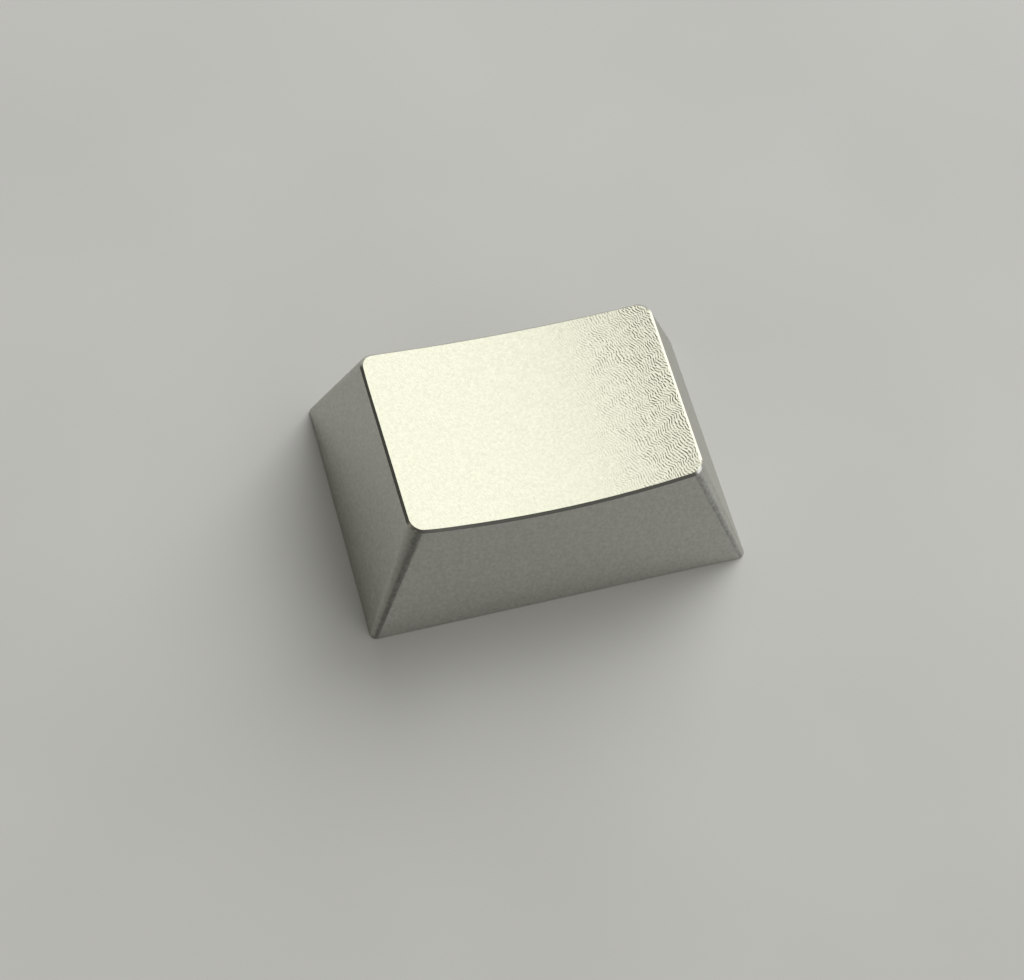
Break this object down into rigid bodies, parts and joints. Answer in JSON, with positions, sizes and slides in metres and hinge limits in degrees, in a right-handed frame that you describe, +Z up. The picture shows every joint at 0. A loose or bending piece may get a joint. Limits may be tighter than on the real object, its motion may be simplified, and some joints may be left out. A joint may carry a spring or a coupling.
{
  "type": "metal keycap",
  "caption": "Low metal keycap with leaning walls, a shallow cylindrical dish on top, a hollow underside and a post with a cross socket that presses onto a key switch.",
  "frame": {"origin": "middle of the rim, on the plane that the keycap rests on, on the axis of the stem socket", "axes": "+X to the right across the key's width, +Y to the back, +Z up through the dish"},
  "size_m": [0.0276, 0.0182, 0.0071],
  "materials": {
    "body": "bead-blasted satin walls, bright finely milled dish, bright edge break"
  },
  "bodies": {
    "root": {"keycap": "body"}
  },
  "joints": []
}
